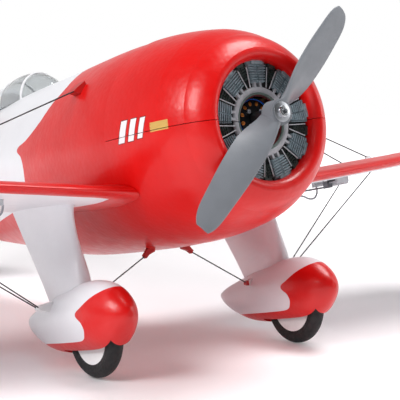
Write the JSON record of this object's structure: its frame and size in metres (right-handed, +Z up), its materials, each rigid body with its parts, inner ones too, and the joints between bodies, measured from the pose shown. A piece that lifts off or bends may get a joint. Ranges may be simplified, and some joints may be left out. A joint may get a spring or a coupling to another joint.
{
  "type": "radio controlled racing monoplane",
  "caption": "Foam radio controlled racing monoplane with a barrel fuselage, low braced wing, spatted wheels, dummy radial engine and working controls.",
  "frame": {"origin": "on the ground under the middle of the standing model's box", "axes": "+X towards the left wing tip, +Y towards the tail, +Z up from the ground; the model stands tail down on its three wheels, nose towards -Y"},
  "size_m": [0.4996, 0.3803, 0.1626],
  "materials": {
    "red_foam": "glossy painted expanded foam with a fine pebble grain",
    "white_foam": "white painted expanded foam with a fine pebble grain",
    "engine_print": "printed and pressed plastic sheet of a radial engine",
    "grey_prop": "satin moulded nylon",
    "black_case": "satin black anodised can",
    "blue_metal": "blue anodised aluminium",
    "bright_metal": "turned aluminium",
    "steel_wire": "drawn spring steel wire",
    "magnet_metal": "nickel plated",
    "brass": "turned brass",
    "plywood": "light plywood",
    "battery_wrap": "heat shrunk film",
    "strap_fabric": "woven hook and loop tape",
    "board_green": "solder masked glass fibre board",
    "servo_grey": "grey moulded nylon",
    "horn_white": "white moulded nylon",
    "carbon": "pultruded carbon rod",
    "lead_sleeve": "soft insulated lead",
    "tyre_foam": "black foam rubber",
    "hub_white": "white moulded plastic",
    "canopy_clear": "thin clear vacuum formed sheet",
    "cockpit_black": "matt black moulded tray",
    "rigging": "black covered elastic cord",
    "red_trim": "red moulded plastic"
  },
  "bodies": {
    "airframe": {"fuselage_left": "red_foam", "fuselage_right": "red_foam", "engine_face_lower": "engine_print", "cowl_lower": "red_foam", "cowl_magnets": "magnet_metal", "motor_stator": "blue_metal", "motor_mount": "blue_metal", "firewall": "plywood", "battery": "battery_wrap", "battery_tray": "plywood", "battery_strap": "strap_fabric", "control_board": "board_green", "wing_left": "white_foam", "aileron_servo_left": "servo_grey", "wing_right": "white_foam", "aileron_servo_right": "servo_grey", "wing_spar": "carbon", "servo_lead_left": "lead_sleeve", "servo_lead_right": "lead_sleeve", "stabiliser": "white_foam", "fin": "white_foam", "elevator_servo": "servo_grey", "rudder_servo": "servo_grey", "spat_left": "red_foam", "leg_left": "white_foam", "gear_wire_left": "steel_wire", "spat_right": "red_foam", "leg_right": "white_foam", "gear_wire_right": "steel_wire", "wheel_collars": "brass", "canopy": "canopy_clear", "cockpit_tub": "cockpit_black", "bracing_wires": "rigging", "wire_feet": "red_trim"},
    "hatch": {"hatch": "red_foam", "engine_face_upper": "engine_print", "hatch_magnets": "magnet_metal"},
    "propeller": {"motor_bell": "black_case", "prop_adapter": "bright_metal", "propeller": "grey_prop", "prop_screw": "magnet_metal"},
    "wheel_left": {"wheel_hub_left": "hub_white", "tyre_left": "tyre_foam"},
    "wheel_right": {"wheel_hub_right": "hub_white", "tyre_right": "tyre_foam"},
    "rudder": {"rudder": "white_foam", "rudder_horn": "horn_white", "tail_wheel_leg": "steel_wire"},
    "tail_wheel": {"tail_wheel": "tyre_foam"},
    "elevator": {"elevator": "white_foam", "elevator_horn": "horn_white"},
    "aileron_left": {"aileron_left": "white_foam", "aileron_horn_left": "horn_white"},
    "aileron_right": {"aileron_right": "white_foam", "aileron_horn_right": "horn_white"},
    "aileron_link_left": {"aileron_pushrod_left": "steel_wire"},
    "aileron_link_right": {"aileron_pushrod_right": "steel_wire"},
    "elevator_link": {"elevator_pushrod": "steel_wire"},
    "rudder_link": {"rudder_pushrod": "steel_wire"}
  },
  "joints": [
    {"name": "propeller_spin", "type": "hinge", "parent": "airframe", "child": "propeller", "pos_m": [0, -0.18043, 0.11535], "axis": [0, -0.9823, 0.1871], "continuous": true},
    {"name": "hatch_lift", "type": "slide", "parent": "airframe", "child": "hatch", "axis": [0, 0.1871, 0.9823], "range_m": [0, 0.06]},
    {"name": "wheel_left_spin", "type": "hinge", "parent": "airframe", "child": "wheel_left", "pos_m": [0.0581, -0.12793, 0.019], "axis": [1, 0, 0], "continuous": true},
    {"name": "wheel_right_spin", "type": "hinge", "parent": "airframe", "child": "wheel_right", "pos_m": [-0.0581, -0.12793, 0.019], "axis": [1, 0, 0], "continuous": true},
    {"name": "rudder_swing", "type": "hinge", "parent": "airframe", "child": "rudder", "pos_m": [0, 0.15172, 0.05432], "axis": [0, 0.1871, 0.9823], "range_deg": [-25, 25]},
    {"name": "rudder_rod", "type": "slide", "parent": "airframe", "child": "rudder_link", "axis": [0, 0.9823, -0.1871], "range_m": [-0.00397, 0.00397]},
    {"name": "tail_wheel_spin", "type": "hinge", "parent": "rudder", "child": "tail_wheel", "pos_m": [0, 0.14891, 0.0075], "axis": [1, 0, 0], "continuous": true},
    {"name": "elevator_swing", "type": "hinge", "parent": "airframe", "child": "elevator", "pos_m": [0, 0.1429, 0.06414], "axis": [1, 0, 0], "range_deg": [-20, 20]},
    {"name": "elevator_rod", "type": "slide", "parent": "airframe", "child": "elevator_link", "axis": [0, 0.9823, -0.1871], "range_m": [-0.00282, 0.00282]},
    {"name": "aileron_left_swing", "type": "hinge", "parent": "airframe", "child": "aileron_left", "pos_m": [0.13951, -0.06728, 0.07765], "axis": [0.9957, 0.0173, 0.0907], "range_deg": [-20, 20]},
    {"name": "aileron_right_swing", "type": "hinge", "parent": "airframe", "child": "aileron_right", "pos_m": [-0.13951, -0.06728, 0.07765], "axis": [0.9957, -0.0173, -0.0907], "range_deg": [-20, 20]},
    {"name": "aileron_left_rod", "type": "slide", "parent": "airframe", "child": "aileron_link_left", "axis": [0, 0.9823, -0.1871], "range_m": [-0.00247, 0.00247]},
    {"name": "aileron_right_rod", "type": "slide", "parent": "airframe", "child": "aileron_link_right", "axis": [0, 0.9823, -0.1871], "range_m": [-0.00247, 0.00247]}
  ],
  "couplings": [
    {"joint": "rudder_rod", "follows": "rudder_swing", "m_per_rad": -0.009},
    {"joint": "elevator_rod", "follows": "elevator_swing", "m_per_rad": 0.008},
    {"joint": "aileron_left_rod", "follows": "aileron_left_swing", "m_per_rad": 0.007},
    {"joint": "aileron_right_rod", "follows": "aileron_right_swing", "m_per_rad": 0.007}
  ]
}
